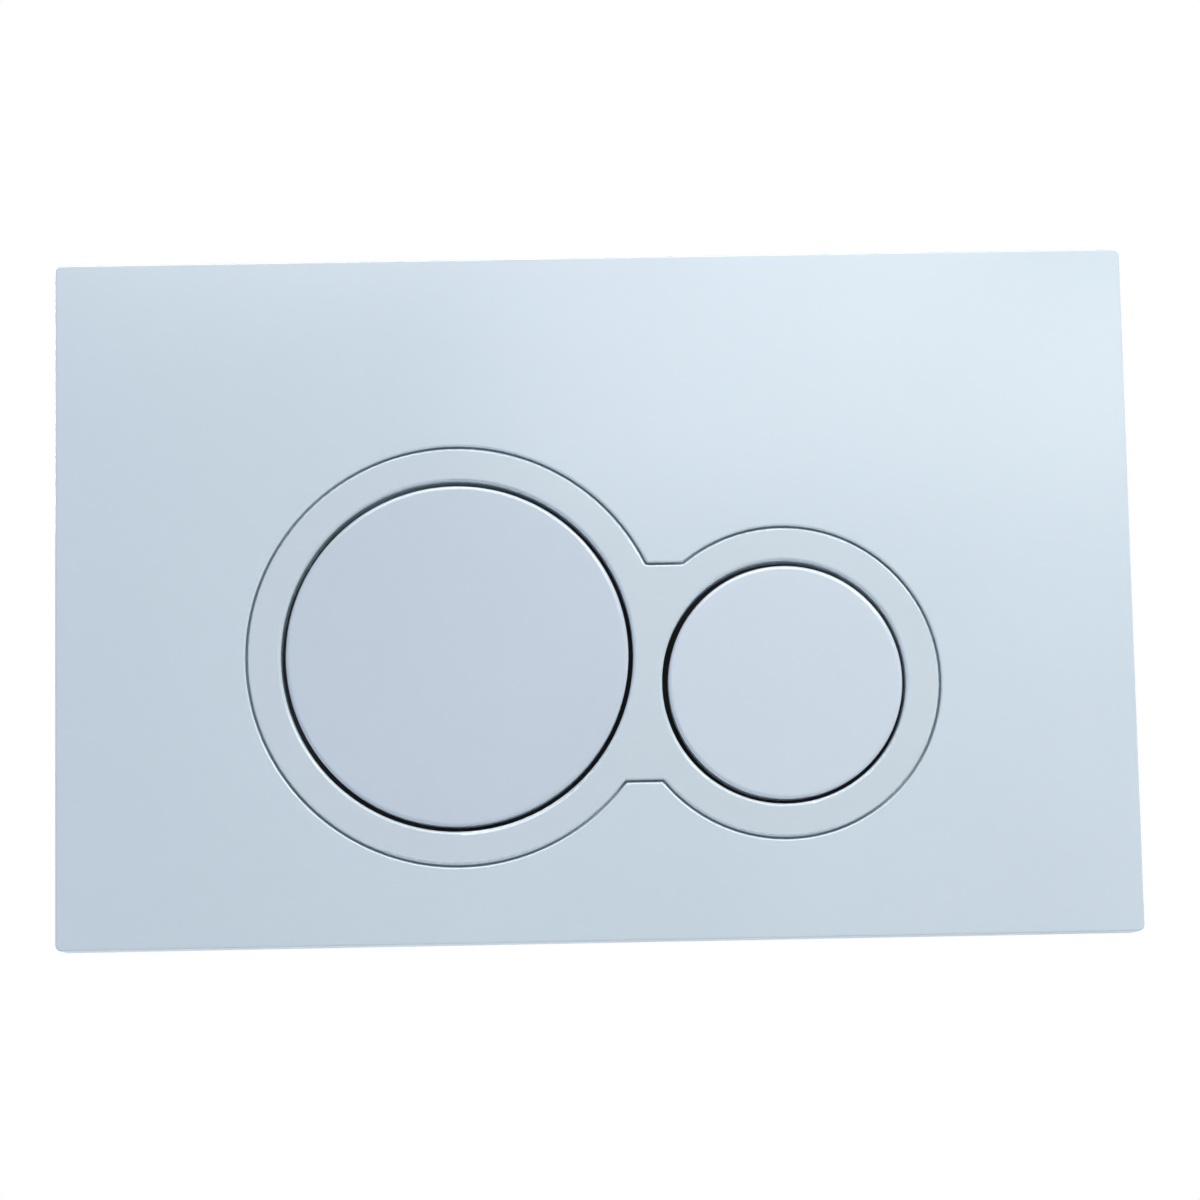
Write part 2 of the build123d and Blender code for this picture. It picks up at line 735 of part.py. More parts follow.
def bolt_washer(place):
    return ring(place, washer_radius, bolt_neck_radius + washer_fit, knob_back, bolt_pad_front)


nodes = {
    "front_plate": front_plate(),
    "trim_insert": trim_insert(),
    "button_carrier": button_carrier(),
    "carrier_screws": carrier_screws(),
    "base_frame": base_frame(),
}
for name, button in (("full", full), ("half", half)):
    nodes[name + "_flush_button"] = button_cap(button)
    nodes[name + "_plunger"] = plunger(button)
    nodes[name + "_return_spring"] = return_spring(button)
    nodes[name + "_buffer_ring"] = buffer_ring(button)
    nodes[name + "_push_rod"] = push_rod(button)
    nodes[name + "_lock_nut"] = lock_nut(button)
for name, place in zip(("left", "right"), bolt_places):
    nodes[name + "_fixing_bolt"] = fixing_bolt(place)
    nodes[name + "_bolt_knob"] = bolt_knob(place)
    nodes[name + "_bolt_washer"] = bolt_washer(place)

os.makedirs("parts", exist_ok=True)
for name, solid in nodes.items():
    export_step(solid, f"parts/{name}.step")
    print(name, round(solid.volume), "mm3")
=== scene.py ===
# %% [markdown]
# Flush button plate for a concealed cistern: the finish of every piece.
#
# The pieces come in at their real size and place, with sharp edges and no finish. This lesson gives each of
# them what its maker gave it: rounded mould edges, rolled threads, wound and ground springs, and a surface
# that looks moulded, zinc plated or drawn.

# %% Load the pieces
import json
from math import cos, degrees, pi, radians, sin, sqrt, tan

import bmesh
import bpy
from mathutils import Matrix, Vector

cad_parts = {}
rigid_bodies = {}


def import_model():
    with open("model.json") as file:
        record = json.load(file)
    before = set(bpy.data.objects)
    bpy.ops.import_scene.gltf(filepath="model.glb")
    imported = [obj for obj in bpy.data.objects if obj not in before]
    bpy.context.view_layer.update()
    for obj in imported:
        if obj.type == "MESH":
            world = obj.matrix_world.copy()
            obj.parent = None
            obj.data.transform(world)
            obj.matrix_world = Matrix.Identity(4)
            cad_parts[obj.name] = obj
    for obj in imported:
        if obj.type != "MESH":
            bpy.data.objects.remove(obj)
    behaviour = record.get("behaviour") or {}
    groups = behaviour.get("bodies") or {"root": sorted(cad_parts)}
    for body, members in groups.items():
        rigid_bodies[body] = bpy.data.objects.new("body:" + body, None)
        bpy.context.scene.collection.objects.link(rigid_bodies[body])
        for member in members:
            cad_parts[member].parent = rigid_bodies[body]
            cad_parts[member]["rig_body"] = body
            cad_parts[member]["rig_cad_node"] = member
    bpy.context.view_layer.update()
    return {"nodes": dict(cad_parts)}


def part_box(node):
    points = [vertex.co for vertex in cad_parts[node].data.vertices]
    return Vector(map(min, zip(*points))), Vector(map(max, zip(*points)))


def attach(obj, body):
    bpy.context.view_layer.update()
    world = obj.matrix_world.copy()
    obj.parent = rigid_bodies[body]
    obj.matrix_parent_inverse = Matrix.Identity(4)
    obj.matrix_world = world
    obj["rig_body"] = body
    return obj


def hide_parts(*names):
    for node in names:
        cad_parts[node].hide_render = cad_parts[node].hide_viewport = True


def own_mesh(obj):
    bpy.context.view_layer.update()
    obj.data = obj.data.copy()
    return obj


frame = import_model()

# %% [markdown]
# Sizes are thought of in millimetres and given to Blender in metres, so one helper holds the factor. An
# operator works on all that is selected, so each piece is taken alone before it is worked on. Faces and
# corners are picked by a test on their place, as a hand would pick them by eye.

# %% Helpers for modelling
MM = 0.001
MERGE_WITHIN = 0.001 * MM     # corners nearer than a micrometre are one corner


def mm(*lengths):
    """Millimetres to metres: one length, or a point."""
    return lengths[0] * MM if len(lengths) == 1 else Vector(lengths) * MM


def take(piece):
    """Makes one piece the only selected and active one."""
    bpy.ops.object.select_all(action="DESELECT")
    piece.select_set(True)
    bpy.context.view_layer.objects.active = piece
    return piece


def settle(name):
    """Names the piece in hand and moves its place, turn and scale into its mesh."""
    bpy.ops.object.transform_apply(location=True, rotation=True, scale=True)
    bpy.context.object.name = name
    return bpy.context.object


def pick(kind, test):
    """In edit mode, selects only the faces or corners whose middle passes a test, and says how many."""
    bpy.ops.mesh.select_mode(type=kind)
    bpy.ops.mesh.select_all(action="DESELECT")
    mesh = bmesh.from_edit_mesh(bpy.context.object.data)
    found = 0
    for part in mesh.faces if kind == "FACE" else mesh.verts:
        if test(part.calc_center_median() if kind == "FACE" else part.co):
            part.select_set(True)
            found += 1
    mesh.select_flush_mode()
    bmesh.update_edit_mesh(bpy.context.object.data)
    return found


def apply_modifier(piece, kind, **settings):
    """Adds a modifier with its settings and applies it."""
    take(piece)
    modifier = piece.modifiers.new(kind.title(), kind)
    for name, value in settings.items():
        setattr(modifier, name, value)
    bpy.ops.object.modifier_apply(modifier=modifier.name)
    return piece


def cut(piece, tool, operation="DIFFERENCE"):
    """Joins, cuts or intersects a piece with a tool, which is then thrown away."""
    apply_modifier(piece, "BOOLEAN", operation=operation, object=tool, solver="EXACT")
    bpy.data.objects.remove(tool, do_unlink=True)
    return take(piece)


def round_edges(piece, width, sharper_than=40):
    """Rounds the edges that are sharper than an angle, to a width in mm."""
    return apply_modifier(
        piece, "BEVEL", width=mm(width), segments=2, limit_method="ANGLE", angle_limit=radians(sharper_than)
    )


def tidy_mesh(piece):
    """Merges doubled corners and points all faces outwards."""
    take(piece)
    bpy.ops.object.mode_set(mode="EDIT")
    bpy.ops.mesh.select_all(action="SELECT")
    bpy.ops.mesh.remove_doubles(threshold=MERGE_WITHIN)
    bpy.ops.mesh.normals_make_consistent(inside=False)
    bpy.ops.object.mode_set(mode="OBJECT")
    return piece


def slice_off(piece, depth, way):
    """Cuts off what lies past a depth in mm, towards -Y or +Y, and closes the cut."""
    take(piece)
    bpy.ops.object.mode_set(mode="EDIT")
    bpy.ops.mesh.select_all(action="SELECT")
    bpy.ops.mesh.bisect(
        plane_co=(0, mm(depth), 0), plane_no=(0, way, 0), use_fill=True, clear_outer=True, threshold=1e-8
    )
    bpy.ops.object.mode_set(mode="OBJECT")


def copy_to(piece, name, move):
    """A copy with its own mesh, moved in its mesh."""
    take(piece)
    bpy.ops.object.duplicate(linked=False)
    bpy.ops.transform.translate(value=move)
    return settle(name)


print("helpers are ready")

# %% [markdown]
# Colours are written as the eye sees them, in sRGB hex, and turned to linear light by one function. One more
# function adds a shader node with its settings and its links, and serves every kind of node. Patterns read
# Object coordinates, which are metres on the real part, so that a pattern's size is a real size.

# %% Helpers for materials
def colour(hex_code):
    """sRGB hex to linear red, green, blue and alpha."""
    parts = [int(hex_code[i:i + 2], 16) / 255 for i in (1, 3, 5)]
    return (*[c / 12.92 if c <= 0.04045 else ((c + 0.055) / 1.055) ** 2.4 for c in parts], 1.0)


def add(tree, kind, inputs=None, **settings):
    """Adds one node: settings are its own properties, inputs are values or sockets to link."""
    node = tree.nodes.new(kind)
    for name, value in settings.items():
        setattr(node, name, value)
    for name, value in (inputs or {}).items():
        if isinstance(value, bpy.types.NodeSocket):
            tree.links.new(value, node.inputs[name])
        else:
            node.inputs[name].default_value = value
    return node


def per_mm(size):
    """Scale of a pattern on Object coordinates, in metres, that sets its features this many mm apart."""
    return 1 / mm(size)


def new_material(name, **shader):
    """A material with one Principled shader, its sockets given by name, and Object coordinates to draw on."""
    material = bpy.data.materials.new(name)
    material.use_nodes = True
    tree = material.node_tree
    principled = tree.nodes["Principled BSDF"]
    for socket, value in shader.items():
        principled.inputs[socket.replace("_", " ").title().replace("Ior", "IOR")].default_value = value
    place = add(tree, "ShaderNodeTexCoord").outputs["Object"]
    return material, tree, principled, place


def spread(value, low, high, to_low, to_high):
    """Inputs with which a Map Range node maps a stretch of values to another one, held at both ends."""
    return {"Value": value, "From Min": low, "From Max": high, "To Min": to_low, "To Max": to_high}


def seen_directly(tree):
    """1 where the camera, a reflection or glass looks at a surface, 0 where its light falls on the part."""
    path = add(tree, "ShaderNodeLightPath").outputs
    seen = path["Is Camera Ray"]
    for other in ("Is Glossy Ray", "Is Transmission Ray"):
        seen = add(tree, "ShaderNodeMath", {0: seen, 1: path[other]}, operation="MAXIMUM").outputs[0]
    return seen


# A noise's values lie mostly in this stretch of 0 to 1.
NOISE = (0.3, 0.7)
# The Mix node keeps its sockets for colours behind those for numbers and vectors.
MIX_A, MIX_B, MIX_RESULT = 6, 7, 2


print("white is", [round(c, 3) for c in colour("#FFFFFF")])

# %% [markdown]
# The camera stands where the photographer stood: 0.8 m in front of the plate and 0.1 m below its middle,
# looking up by seven degrees and leaning by one. A long lens keeps the plate's sides nearly parallel. The
# part hangs on a wall in use. No wall is built, so that its back can be seen too, and a pale floor lies well
# below it.

# %% Camera and floor
camera_place = mm(-10.7, -818.1, -101.4)
camera_turn = (radians(97.09), radians(1.11), radians(-0.71))
lens_mm = 105.0

bpy.ops.object.camera_add(location=camera_place, rotation=camera_turn)
camera = bpy.context.object
camera.data.lens = lens_mm
camera.data.sensor_width = 36.0
camera.data.clip_start = 0.01
bpy.context.scene.camera = camera

floor_height = -0.32
floor_size = 4.0
bpy.ops.mesh.primitive_plane_add(size=floor_size, location=(0, 0, floor_height))
floor = settle("floor")
print("camera looks up by", round(degrees(camera_turn[0]) - 90, 2), "degrees")

# %% [markdown]
# Studio light for a glossy white plate. A wide soft key lamp from the right gives the face its slow fade from
# a bright right side to a darker bottom left corner, and a lamp overhead draws bright lines on the edges that
# face up. A bluish lamp tints the left side a little. Two weak lamps behind the camera are what the gloss
# mirrors: a soft patch at the upper right and a faint streak along the top edge. A lamp behind the wall shows
# the back. A large one above lights nothing by itself: only reflections see it, and it draws the thin bright
# lines on all small rounds that face up. The world fills the shadows at a moderate level, and is plain white
# only where the camera, a reflection or glass looks at it.

# %% Light
def lamp(name, place, target, size, power, tint):
    """A soft rectangular lamp that faces a target. Places and sizes are in metres, the power in watts."""
    bpy.ops.object.light_add(type="AREA", location=place)
    light = bpy.context.object
    light.name = name
    light.data.shape = "RECTANGLE"
    light.data.size, light.data.size_y = size
    light.data.energy = power
    light.data.color = colour(tint)[:3]
    light.rotation_euler = (Vector(target) - Vector(place)).to_track_quat("-Z", "Y").to_euler()
    return light


middle = (0.0, 0.0, 0.0)
upper_right = (0.06, 0.0, 0.05)
top_edge = (0.0, 0.0, 0.08)
lamps = [
    lamp("key_lamp", (0.48, -0.48, 0.43), middle, (0.40, 0.30), 4.2, "#FFFEFC"),
    lamp("top_lamp", (-0.14, -0.14, 0.66), middle, (0.60, 0.30), 2.4, "#FFFFFF"),
    lamp("side_lamp", (-0.80, -0.60, 0.10), middle, (0.40, 0.60), 1.35, "#A8CBFF"),
    lamp("mirrored_lamp", (0.178, -1.21, 0.275), upper_right, (0.42, 0.125), 0.30, "#FFFFFF"),
    lamp("streak_lamp", (-0.02, -1.21, 0.362), top_edge, (0.56, 0.035), 0.22, "#FFFFFF"),
    lamp("back_lamp", (-0.65, 0.80, 0.36), middle, (0.40, 0.40), 7.5, "#FFFDFA"),
]
glint_lamp = lamp("glint_lamp", (0.0, -0.42, 0.60), middle, (0.90, 0.50), 6.5, "#FFFFFF")
glint_lamp.visible_diffuse = False
lamps.append(glint_lamp)

world = bpy.data.worlds.new("studio")
bpy.context.scene.world = world
world.use_nodes = True
sky = world.node_tree
sky.nodes.clear()
fill_strength = 0.255
fill = add(sky, "ShaderNodeBackground", {"Color": colour("#EDF2FA"), "Strength": fill_strength}).outputs[0]
white = add(sky, "ShaderNodeBackground", {"Color": colour("#FFFFFF"), "Strength": 1.0}).outputs[0]
mixed = add(sky, "ShaderNodeMixShader", {0: seen_directly(sky), 1: fill, 2: white}).outputs[0]
add(sky, "ShaderNodeOutputWorld", {"Surface": mixed})
bpy.context.scene.view_settings.view_transform = "Standard"
print("lamps:", [round(light.data.energy, 1) for light in lamps], "W")

# %% [markdown]
# The floor is matt pale paint, and keeps the part's soft shadow. Away from the part it passes into the plain
# white of the background, but only as the camera and reflections see it, so that it throws no light on the
# object.

# %% Floor finish
floor_shade = colour("#E6E9EC")
floor_paint, tree, shader, place = new_material("matt_floor_paint", base_color=floor_shade, roughness=0.8)
mottle = add(tree, "ShaderNodeTexNoise", {"Vector": place, "Scale": per_mm(90), "Detail": 3.0}).outputs["Fac"]
rough = add(tree, "ShaderNodeMapRange", spread(mottle, *NOISE, 0.76, 0.84)).outputs["Result"]
tree.links.new(rough, shader.inputs["Roughness"])
fade_start = 0.3     # metres from the part's middle
fade_end = 1.2
reach = add(tree, "ShaderNodeVectorMath", {0: place}, operation="LENGTH").outputs["Value"]
stretch = spread(reach, fade_start, fade_end, 0.0, 1.0)
fade = add(tree, "ShaderNodeMapRange", stretch, interpolation_type="SMOOTHERSTEP").outputs["Result"]
fade = add(tree, "ShaderNodeMath", {0: fade, 1: seen_directly(tree)}, operation="MULTIPLY").outputs[0]
white = add(tree, "ShaderNodeEmission", {"Color": colour("#FFFFFF"), "Strength": 1.0}).outputs[0]
mixed = add(tree, "ShaderNodeMixShader", {0: fade, 1: shader.outputs[0], 2: white}).outputs[0]
tree.links.new(mixed, tree.nodes["Material Output"].inputs["Surface"])
floor.data.materials.append(floor_paint)
print(floor_paint.name)

# %% [markdown]
# Gloss ABS is what the plate, its trim and its buttons are moulded in: IOR 1.54, no metal, and a polished
# mould that leaves a roughness of about 0.14. Three things tell the eye that it is moulded and not painted: a
# very slow waviness where the melt shrank over the ribs, a faint orange peel, and a satin back, because only
# the side that shows gets a polished mould. The change from gloss to satin is drawn by depth behind the face.
# The plate, the trim and the two buttons come out of four moulds and are a hair apart in shade.

# %% Gloss ABS
FACE_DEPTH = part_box("front_plate")[0].y


def gloss_abs(name, shade, gloss=0.14, satin=0.42, satin_from=1.6):
    """Moulded ABS, polished in front and satin behind."""
    material, tree, shader, place = new_material(name, base_color=colour(shade), ior=1.54)
    cloud = add(tree, "ShaderNodeTexNoise", {"Vector": place, "Scale": per_mm(70), "Detail": 2.0})
    slight = spread(cloud.outputs["Fac"], *NOISE, 0.985, 1.015)
    cloudy = add(tree, "ShaderNodeMapRange", slight).outputs["Result"]
    tint = add(tree, "ShaderNodeHueSaturation", {"Color": colour(shade), "Value": cloudy})
    tree.links.new(tint.outputs["Color"], shader.inputs["Base Color"])
    depth = add(tree, "ShaderNodeSeparateXYZ", {"Vector": place}).outputs["Y"]
    polished_to = FACE_DEPTH + mm(satin_from)
    dulled = spread(depth, polished_to, polished_to + mm(0.2), gloss, satin)
    rough = add(tree, "ShaderNodeMapRange", dulled).outputs["Result"]
    tree.links.new(rough, shader.inputs["Roughness"])
    wave = add(tree, "ShaderNodeTexNoise", {"Vector": place, "Scale": per_mm(45), "Detail": 0.0})
    peel = add(tree, "ShaderNodeTexNoise", {"Vector": place, "Scale": per_mm(0.9), "Detail": 2.0})
    shrinkage = {"Height": wave.outputs["Fac"], "Strength": 0.15, "Distance": mm(0.05)}
    waves = add(tree, "ShaderNodeBump", shrinkage).outputs["Normal"]
    orange_peel = {"Height": peel.outputs["Fac"], "Normal": waves, "Strength": 0.1, "Distance": mm(0.01)}
    skin = add(tree, "ShaderNodeBump", orange_peel)
    tree.links.new(skin.outputs["Normal"], shader.inputs["Normal"])
    return material


plate_abs = gloss_abs("gloss_white_abs_plate", "#CFDBE2")
trim_abs = gloss_abs("gloss_white_abs_trim", "#CDD8DE")
button_abs = {
    "full": gloss_abs("gloss_white_abs_full_button", "#C9D3DC"),
    "half": gloss_abs("gloss_white_abs_half_button", "#D0DAE2"),
}
print(plate_abs.name, trim_abs.name, "and a shade for each button")

# %% [markdown]
# The parts behind are moulded in a dull technical plastic, straight from a spark-eroded mould. Its skin is a
# fine, even grain of about a third of a millimetre, which scatters the light, so it looks matt and a little
# lighter at grazing angles. The same function serves the black carrier and plungers, the grey frame, the
# natural white rods and the blue knobs and nuts.

# %% Matt technical plastic
def matt_plastic(name, shade, roughness=0.5, grain=0.35):
    """Technical plastic from a spark-eroded mould."""
    material, tree, shader, place = new_material(name, base_color=colour(shade), ior=1.5)
    melt_streaks = {"Vector": place, "Scale": per_mm(18), "Detail": 2.0}
    flow = add(tree, "ShaderNodeTexNoise", melt_streaks).outputs["Fac"]
    streaky = add(tree, "ShaderNodeMapRange", spread(flow, *NOISE, 0.97, 1.03)).outputs["Result"]
    tint = add(tree, "ShaderNodeHueSaturation", {"Color": colour(shade), "Value": streaky})
    tree.links.new(tint.outputs["Color"], shader.inputs["Base Color"])
    uneven = spread(flow, *NOISE, roughness - 0.05, roughness + 0.07)
    rough = add(tree, "ShaderNodeMapRange", uneven).outputs["Result"]
    tree.links.new(rough, shader.inputs["Roughness"])
    spark = add(tree, "ShaderNodeTexNoise", {"Vector": place, "Scale": per_mm(grain), "Detail": 3.0})
    pits = {"Height": spark.outputs["Fac"], "Strength": 0.4, "Distance": mm(0.02)}
    skin = add(tree, "ShaderNodeBump", pits)
    tree.links.new(skin.outputs["Normal"], shader.inputs["Normal"])
    return material


carrier_plastic = matt_plastic("black_abs_carrier", "#1B1D20", 0.48)
plunger_plastic = matt_plastic("black_acetal_plunger", "#17191C", 0.4)
frame_plastic = matt_plastic("grey_abs_frame", "#9DA2A6", 0.5)
rod_plastic = matt_plastic("natural_acetal_rod", "#E4E2DA", 0.36, 0.5)
knob_plastic = matt_plastic("blue_nylon_knob", "#24589E", 0.42)
print("matt plastics:", carrier_plastic.name, frame_plastic.name)

# %% [markdown]
# Bolts, washers and screws are steel with a thin coat of bright zinc: a bluish silver, metallic 1, with a
# roughness of about 0.3 that varies in soft crystals a few tenths of a millimetre across. On a bolt the roots
# of the thread are darkened in the base colour: painted shade, standing in for the shade in the grooves. A
# pattern tells a root from a crest by its distance from the bolt's axis, so each bolt has its own copy of
# the finish, centred on it.

# %% Zinc plated steel
def from_axis(tree, place, axis_place):
    """Distance from an axis along Y, and the depth along it."""
    shift = [-c for c in axis_place]
    centred = add(tree, "ShaderNodeMapping", {"Vector": place, "Location": shift}).outputs[0]
    parts = add(tree, "ShaderNodeSeparateXYZ", {"Vector": centred}).outputs
    flat = add(tree, "ShaderNodeCombineXYZ", {"X": parts["X"], "Y": parts["Z"]}).outputs[0]
    return add(tree, "ShaderNodeVectorMath", {0: flat}, operation="LENGTH").outputs["Value"], parts["Y"]


def zinc_plate(name, axis_place=None, root=0.0, crest=1.0, end=0.0):
    """Bright zinc on steel. With an axis, painted shade darkens it at a root radius and is gone by a crest
    radius, in mm.

    The end face, which lies past a depth in mm, gets no painted shade at any radius.
    """
    material, tree, shader, place = new_material(name, base_color=colour("#C3C8CF"), metallic=1.0)
    crystal = add(tree, "ShaderNodeTexVoronoi", {"Vector": place, "Scale": per_mm(0.6)}, feature="SMOOTH_F1")
    patches = {"Vector": place, "Scale": per_mm(5), "Detail": 4.0}
    haze = add(tree, "ShaderNodeTexNoise", patches).outputs["Fac"]
    rough = add(tree, "ShaderNodeMapRange", spread(haze, *NOISE, 0.24, 0.4)).outputs["Result"]
    tree.links.new(rough, shader.inputs["Roughness"])
    shades = {0: haze, MIX_A: colour("#BFC6D0"), MIX_B: colour("#CCCBC4")}
    tint = add(tree, "ShaderNodeMix", shades, data_type="RGBA").outputs[MIX_RESULT]
    # Painted shade: the thread's roots are darkened by their distance from the axis, standing in for the
    # shade in the grooves.
    if axis_place:
        radius, depth = from_axis(tree, place, axis_place)
        out = spread(radius, mm(root), mm(crest), 0.0, 1.0)
        far = spread(depth, mm(end - 0.1), mm(end - 0.05), 0.0, 1.0)
        at_crest = add(tree, "ShaderNodeMapRange", out).outputs["Result"]
        at_end = add(tree, "ShaderNodeMapRange", far).outputs["Result"]
        bright = add(tree, "ShaderNodeMath", {0: at_crest, 1: at_end}, operation="MAXIMUM").outputs[0]
        # painted shade: this dark grey is the colour painted into the thread's roots
        shades = {0: bright, MIX_A: colour("#5C6066"), MIX_B: tint}
        tint = add(tree, "ShaderNodeMix", shades, data_type="RGBA").outputs[MIX_RESULT]
    tree.links.new(tint, shader.inputs["Base Color"])
    height = crystal.outputs["Distance"]
    skin = add(tree, "ShaderNodeBump", {"Height": height, "Strength": 0.25, "Distance": mm(0.01)})
    tree.links.new(skin.outputs["Normal"], shader.inputs["Normal"])
    return material


def axis_of(node):
    """The point on the wall plane where a round node's axis passes."""
    low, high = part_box(node)
    return Vector(((low.x + high.x) / 2, 0.0, (low.z + high.z) / 2))


def span(node):
    """Front and back depth of a node and its radius, in mm."""
    low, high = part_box(node)
    return low.y / MM, high.y / MM, (high.z - low.z) / 2 / MM


bolt_thread_height = 0.6134
bolt_front, bolt_back, bolt_radius = span("left_fixing_bolt")
bolt_places = {side: axis_of(f"{side}_fixing_bolt") for side in ("left", "right")}
zinc = zinc_plate("zinc_plated_steel")
# radii where the painted shade in the thread's roots is darkest and where it has faded out
bolt_root = bolt_radius - bolt_thread_height
bolt_crest = bolt_radius - 0.1
# each bolt's zinc carries the painted shade of its thread's roots
bolt_zincs_painted_root_shade = {
    side: zinc_plate(f"zinc_plated_steel_{side}_bolt", axis, bolt_root, bolt_crest, bolt_back)
    for side, axis in bolt_places.items()
}
print(zinc.name, "on washers and screws, its copies on the bolts")

# %% [markdown]
# Spring wire is drawn through a die, which leaves hair-fine lines along it. On a coil those lines follow the
# turns, so the pattern reads only the distance from the coil's axis and the depth, and not the angle. The
# lines are drawn 0.1 mm apart, coarser than real ones, so that they still show.

# %% Drawn spring steel
def drawn_wire(name, axis_place):
    """Spring steel with drawing lines that run round an axis along Y."""
    material, tree, shader, place = new_material(name, base_color=colour("#A9ABAE"), metallic=1.0)
    radius, depth = from_axis(tree, place, axis_place)
    along = add(tree, "ShaderNodeCombineXYZ", {"X": radius, "Y": depth}).outputs[0]
    die_lines = {"Vector": along, "Scale": per_mm(0.1), "Detail": 2.0}
    lines = add(tree, "ShaderNodeTexNoise", die_lines).outputs["Fac"]
    rough = add(tree, "ShaderNodeMapRange", spread(lines, 0.35, 0.65, 0.22, 0.42)).outputs["Result"]
    tree.links.new(rough, shader.inputs["Roughness"])
    skin = add(tree, "ShaderNodeBump", {"Height": lines, "Strength": 0.3, "Distance": mm(0.01)})
    tree.links.new(skin.outputs["Normal"], shader.inputs["Normal"])
    return material


button_axes = {side: axis_of(f"{side}_push_rod") for side in ("full", "half")}
wires = {side: drawn_wire(f"drawn_spring_steel_{side}", axis) for side, axis in button_axes.items()}
print({side: [round(c * 1000, 2) for c in axis] for side, axis in button_axes.items()})

# %% [markdown]
# EPDM rubber is almost black, with a dusty bloom that takes the shine off: roughness 0.8 and a little sheen,
# which is the light that its surface throws back at grazing angles.

# %% EPDM rubber
rubber, tree, shader, place = new_material(
    "epdm_rubber", base_color=colour("#202122"), roughness=0.8, ior=1.5,
    sheen_weight=0.15, sheen_roughness=0.6,
)
bloom = add(tree, "ShaderNodeTexNoise", {"Vector": place, "Scale": per_mm(3), "Detail": 5.0}).outputs["Fac"]
shades = {0: bloom, MIX_A: colour("#191A1B"), MIX_B: colour("#2C2D2E")}
dusty = add(tree, "ShaderNodeMix", shades, data_type="RGBA").outputs[MIX_RESULT]
tree.links.new(dusty, shader.inputs["Base Color"])
skin = add(tree, "ShaderNodeBump", {"Height": bloom, "Strength": 0.3, "Distance": mm(0.03)})
tree.links.new(skin.outputs["Normal"], shader.inputs["Normal"])
print(rubber.name)

# %% [markdown]
# Every piece ends the same way: it is shaded smooth up to a crease angle, gets its material, rides on its
# body and hides the nodes that it stands for. Plain smoothing would bend the light on a flat face towards its
# rounded edges, as if it were crowned, so the weighted normal modifier lets each large face keep its own
# direction. One helper does all this, so no piece forgets a step.

# %% Finishing helper
def finish(piece, body, slot, material, *nodes, crease=32):
    """Gives a piece its shading, material and body, and hides the nodes it replaces.

    The slot is not used.
    """
    take(piece)
    bpy.ops.object.shade_smooth_by_angle(angle=radians(crease))
    apply_modifier(piece, "WEIGHTED_NORMAL", keep_sharp=True)
    piece.data.materials.clear()
    piece.data.materials.append(material)
    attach(piece, body)
    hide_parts(*nodes)
    print(piece.name, len(piece.data.polygons), "faces")
    return piece


print("finishing helper is ready")

# %% [markdown]
# A moulding's form is already right, but its edges are knife sharp, and nothing that leaves a mould is: every
# edge has a radius of a tenth or two, which catches a thin line of light. A bevel on a hand-made cage would
# work, but would lose the ribs, hooks and bosses. So a copy of the node's mesh is merged, its flat areas are
# freed of their inner edges, and a bevel modifier rounds what is sharper than the crease angle.

# %% Mouldings
def moulding(node, name, edge=0.14, sharper_than=45):
    """A copy of a moulded node with its sharp edges rounded, in mm."""
    source = frame["nodes"][node]
    take(source)
    bpy.ops.object.duplicate(linked=False)
    piece = bpy.context.object
    piece.parent = None
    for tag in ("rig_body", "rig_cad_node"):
        del piece[tag]
    piece.name = name
    bpy.ops.object.mode_set(mode="EDIT")
    bpy.ops.mesh.select_all(action="SELECT")
    bpy.ops.mesh.customdata_custom_splitnormals_clear()
    bpy.ops.mesh.remove_doubles(threshold=MERGE_WITHIN)
    bpy.ops.mesh.dissolve_limited(angle_limit=radians(0.5))
    bpy.ops.object.mode_set(mode="OBJECT")
    return round_edges(piece, edge, sharper_than)


finish(moulding("trim_insert", "trim_moulding"), "plate", "trim", trim_abs, "trim_insert")
for side in ("full", "half"):
    body = f"{side}_button"
    cap = moulding(f"{side}_flush_button", f"{side}_button_cap_moulding")
    finish(cap, body, "buttons", button_abs[side], f"{side}_flush_button")
    plunger = moulding(f"{side}_plunger", f"{side}_plunger_moulding")
    finish(plunger, body, "plungers", plunger_plastic, f"{side}_plunger")

# %% [markdown]
# Pins push a moulding off its core, and each leaves a shallow round mark on the side that nobody sees. Such
# marks are what tells a real moulding's back from a model's. They could be drawn with bump, but a cut keeps a
# crisp rim in every light. A pin is set at each place on a piece, the pins are joined, and one cut sinks them
# all. The marks sit on the frame's bars, between the carrier's ribs, and in the plate's top row of cells
# behind the window.

# %% Ejector marks
def ejector_marks(piece, depth, spots, radius, sunk=0.3):
    """Sinks round marks in a face that looks to the back, at a depth and at places along X and Z in mm."""
    pins = []
    for x, z in spots:
        bpy.ops.mesh.primitive_cylinder_add(
            vertices=48, radius=mm(radius), depth=mm(2 * sunk),
            location=mm(x, depth, z), rotation=(pi / 2, 0, 0),
        )
        pins.append(settle("ejector_pin"))
    for pin in pins:
        pin.select_set(True)
    bpy.ops.object.join()
    cut(piece, bpy.context.object)


def ring_of_marks(axis, radius, angles):
    """Places on a circle round an axis."""
    return [(axis.x / MM + radius * cos(radians(a)), axis.z / MM + radius * sin(radians(a))) for a in angles]


